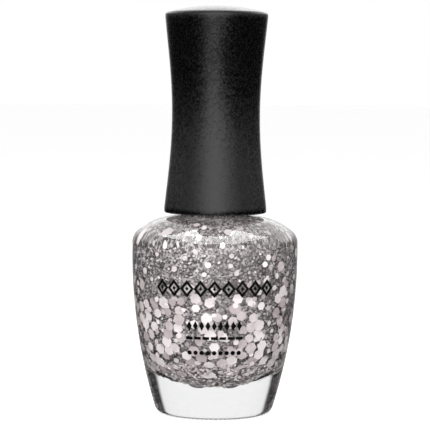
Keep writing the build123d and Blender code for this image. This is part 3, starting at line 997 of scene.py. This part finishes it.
# %% [markdown]
# ## The brush
#
# The bristles are nylon filaments folded over a staple in the stem's hollow end. They leave it as a
# round bundle, then fan out flat towards a rounded tip. One block with a bristle pattern would show
# its flat ends as soon as the cap is lifted. So each filament is its own thin square rod, and a tree
# bends them all by one rule: how far down the tuft a point lies says how far it has fanned out.

# %% Sizes of the tuft
tuft_low, tuft_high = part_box("brush_bristles")
TUFT_TIP_Z, TUFT_TOP_Z = tuft_low.z / MM, tuft_high.z / MM
TUFT_R, TUFT_SPREAD_Z = 1.3, 24.0
TUFT_FAN_X, TUFT_FAN_Y = 0.47, -0.43
FILAMENT_R = 0.052
FILAMENT_SPACING = 0.125
ROOT_DENSITY = 4e8
TIP_ROUND, TIP_STRAY = 1.2, 0.35
print("filaments run from", round(TUFT_TOP_Z, 1), "down to", round(TUFT_TIP_Z, 1), "mm")


# %% Filament tree
def filament_tree():
    sizes = {
        "Radius": FILAMENT_R * MM,
        "Spacing": FILAMENT_SPACING * MM,
        "Top": TUFT_TOP_Z * MM,
        "Tip": TUFT_TIP_Z * MM,
        "Spread from": TUFT_SPREAD_Z * MM,
        "Fan width": TUFT_FAN_X,
        "Fan depth": TUFT_FAN_Y,
        "Tip rounding": TIP_ROUND * MM,
        "Bundle radius": TUFT_R * MM,
    }
    board, given = open_tree("grow_filaments", sizes, 5)

    spread = {"Mesh": given["Geometry"], "Distance Min": given["Spacing"]}
    spread.update({"Density Max": ROOT_DENSITY, "Seed": given["Seed"]})
    points = board.node("GeometryNodeDistributePointsOnFaces", {"distribute_method": "POISSON"}, spread)
    place = board.wire("GeometryNodeInputPosition")
    rooted = board.wire(
        "GeometryNodeStoreNamedAttribute",
        {"data_type": "FLOAT_VECTOR", "domain": "POINT"},
        {0: Wire(board, points.outputs[0]), "Name": "root", "Value": place},
    )
    length = given["Top"] - given["Tip"]
    rod_feeds = {"Vertices": 4, "Side Segments": 10, "Radius": given["Radius"], "Depth": length}
    rod = board.wire("GeometryNodeMeshCylinder", feeds=rod_feeds)
    drop = board.wire("ShaderNodeCombineXYZ", feeds={0: 0.0, 1: 0.0, 2: length * -0.5})
    hung = board.wire("GeometryNodeTransform", feeds={0: rod, "Translation": drop})
    rods = board.wire("GeometryNodeInstanceOnPoints", feeds={"Points": rooted, "Instance": hung})
    solid = board.wire("GeometryNodeRealizeInstances", feeds={0: rods})

    root_read = {"data_type": "FLOAT_VECTOR"}
    root = board.wire("GeometryNodeInputNamedAttribute", root_read, {"Name": "root"})
    root_x, root_y = board.split(root)[:2]
    x, y, z = board.split(board.wire("GeometryNodeInputPosition"))
    share = (given["Spread from"] - z) / (given["Spread from"] - given["Tip"])
    clamp = {"From Min": 0.0, "From Max": 1.0}
    share = board.wire("ShaderNodeMapRange", feeds={"Value": share, **clamp})
    eased = share * (2.0 - share)
    reach = root_x / given["Bundle radius"]
    lift = reach * reach * reach * reach * given["Tip rounding"]
    stray = board.wire("ShaderNodeTexNoise", feeds={"Vector": root, "Scale": 2600.0}) - 0.5
    lift = lift - stray * (TIP_STRAY * MM)
    lift = board.maths("MAXIMUM", lift, 0.0)
    new_x = x + root_x * eased * given["Fan width"]
    new_y = y + root_y * eased * given["Fan depth"]
    fallen = (given["Top"] - z) / length
    new_z = z + lift * fallen * fallen
    bent = board.wire("ShaderNodeCombineXYZ", feeds={0: new_x, 1: new_y, 2: new_z})
    shaped = board.wire("GeometryNodeSetPosition", feeds={0: solid, "Position": bent})
    finished = board.wire("GeometryNodeSetMaterial", feeds={0: shaped, "Material": given["Finish"]})
    board.node("NodeGroupOutput", feeds={0: finished})
    return board.tree


FILAMENTS = filament_tree()
print("filament tree has", len(FILAMENTS.nodes), "nodes")

# %% [markdown]
# Nylon is a glossy plastic. Wet with lacquer it shines all the more, and the filaments are not all
# one black: a slow noise along them makes some greyer, as if clear lacquer clung there.


# %% Nylon finish and the tuft
def wet_nylon():
    feeds = {"IOR": 1.53, "Coat Weight": 0.5, "Coat Roughness": 0.08}
    board = Finish("wet_black_nylon", feeds)
    level = board.smooth(board.noise(board.place(), 900.0, 2.0), 0.35, 0.75)
    colour = board.blend(level, (0.010, 0.009, 0.009, 1), (0.055, 0.05, 0.05, 1))
    return board.vary(Base_Color=colour, Roughness=0.42 - level * 0.2)


bm = bmesh.new()
bmesh.ops.create_circle(bm, cap_ends=True, segments=48, radius=(TUFT_R - FILAMENT_R) * MM)
bmesh.ops.translate(bm, verts=bm.verts, vec=(0, 0, TUFT_TOP_Z * MM))
disc = built("root_disc", bm)
filaments = grow("bristle_filaments", disc, FILAMENTS, {"Seed": 5, "Finish": wet_nylon()})
bpy.data.objects.remove(disc)
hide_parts("brush_bristles")
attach(filaments, "cap")

# %% [markdown]
# A brush lifted out of glitter polish never comes out clean. A few flakes cling to the wet tuft. The
# same scatter tree lays them on a hidden skin round the filaments, and they ride with the cap.

# %% Flakes on the brush
CLING_TOP_Z, CLING_TIP_Z, CLING_STEPS, CLING_SIDES = 23.0, 12.9, 12, 24


def tuft_half_sizes(height):
    share = min(1.0, max(0.0, (TUFT_SPREAD_Z - height) / (TUFT_SPREAD_Z - TUFT_TIP_Z)))
    eased = share * (2.0 - share)
    return TUFT_R * (1 + TUFT_FAN_X * eased), TUFT_R * (1 + TUFT_FAN_Y * eased)


bm = bmesh.new()
skin_rings = []
for height in np.linspace(CLING_TIP_Z, CLING_TOP_Z, CLING_STEPS):
    half_x, half_y = tuft_half_sizes(height)
    ring = []
    for angle in np.linspace(0, 2 * math.pi, CLING_SIDES + 1)[:-1]:
        x, y = half_x * math.cos(angle) * MM, half_y * math.sin(angle) * MM
        ring.append(bm.verts.new((x, y, height * MM)))
    skin_rings.append(ring)
for corners in between(skin_rings):
    bm.faces.new(corners)
tuft_skin = built("tuft_skin", bm)
clinging = {
    "Radius": 0.30 * MM,
    "Thickness": 0.04 * MM,
    "Spacing": 0.55 * MM,
    "Density": 0.75 / MM**2,
    "Tilt": 0.25,
    "Depth": 0.03 * MM,
    "Sparse height": CLING_TOP_Z * MM,
    "Full height": CLING_TIP_Z * MM,
    "Sparse share": 0.25,
    "Seed": 71,
    "Finish": silver_foil,
}
brush_flakes = grow("brush_flakes", tuft_skin, FLAKES, clinging)
bpy.data.objects.remove(tuft_skin)
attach(brush_flakes, "cap")

# %% [markdown]
# ## Finishes on the pieces that keep their shape
#
# The remaining pieces come from the frame as they are. Each gets its own finish. `dress` empties a
# node's material slots and puts one finish there.


# %% Dressing a frame piece
def dress(node, material):
    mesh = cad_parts[node].data
    mesh.materials.clear()
    mesh.materials.append(material)
    print(node, "is dressed in", material.name)


def speckled(name, dark, light, scale, roughness, spread, bump, dent, **same_all_over):
    """A plain finish with a fine noise in its colour, roughness and surface."""
    feeds = {socket.replace("_", " "): value for socket, value in same_all_over.items()}
    board = Finish(name, feeds)
    noise = board.noise(board.place(), scale, 3.0)
    level = board.smooth(noise, 0.3, 0.7)
    colour = board.blend(level, (*dark, 1), (*light, 1))
    dents = board.dented(noise, bump, dent * MM)
    return board.vary(Base_Color=colour, Roughness=roughness + level * spread, Normal=dents)


# %% [markdown]
# The ink is screen printed: an even, slightly raised black with the faint mesh of the screen in it.
# The sticker is coated paper, with soft fibres. The balls are hardened steel, polished but scuffed by
# rolling on glass. The seal is a soft closed-cell foam. The insert is natural white plastic, the stem
# a satin black one with its moulding flow lines, and the staple is drawn brass wire.

# %% Finishes
INK, INK_LIT = (0.001, 0.001, 0.001), (0.006, 0.005, 0.006)
PAPER, PAPER_LIT = (0.78, 0.775, 0.76), (0.90, 0.895, 0.885)
FOAM, FOAM_LIT = (0.70, 0.69, 0.66), (0.90, 0.89, 0.87)
WHITE, WHITE_LIT = (0.72, 0.715, 0.70), (0.84, 0.835, 0.825)
BLACK, BLACK_LIT = (0.010, 0.010, 0.010), (0.030, 0.029, 0.029)
BRASS, BRASS_LIT = (0.60, 0.45, 0.20), (0.80, 0.65, 0.36)
STEEL, STEEL_LIT = (0.50, 0.50, 0.51), (0.72, 0.72, 0.73)

# after the two colours: noise scale, roughness and its spread, dent strength and depth in mm
ink = speckled(
    "screen_ink", INK, INK_LIT, 2600.0, 0.42, 0.18, 0.3, 0.01, Specular_IOR_Level=0.08
)
paper = speckled("coated_paper", PAPER, PAPER_LIT, 1500.0, 0.5, 0.2, 0.25, 0.02)
foam = speckled("seal_foam", FOAM, FOAM_LIT, 3800.0, 0.7, 0.2, 0.6, 0.05)
white = speckled("natural_white", WHITE, WHITE_LIT, 420.0, 0.32, 0.14, 0.2, 0.02)
black = speckled("satin_black", BLACK, BLACK_LIT, 700.0, 0.28, 0.16, 0.3, 0.02)
brass = speckled("drawn_brass", BRASS, BRASS_LIT, 2400.0, 0.2, 0.15, 0.3, 0.01, Metallic=1.0)
steel = speckled("polished_steel", STEEL, STEEL_LIT, 1800.0, 0.10, 0.12, 0.15, 0.01, Metallic=1.0)

dress("front_print", ink)
dress("base_label", paper)
dress("cap_liner", foam)
dress("inner_cap", white)
dress("brush_stem", black)
dress("bristle_staple", brass)
dress("mixing_ball_a", steel)
dress("mixing_ball_b", steel)
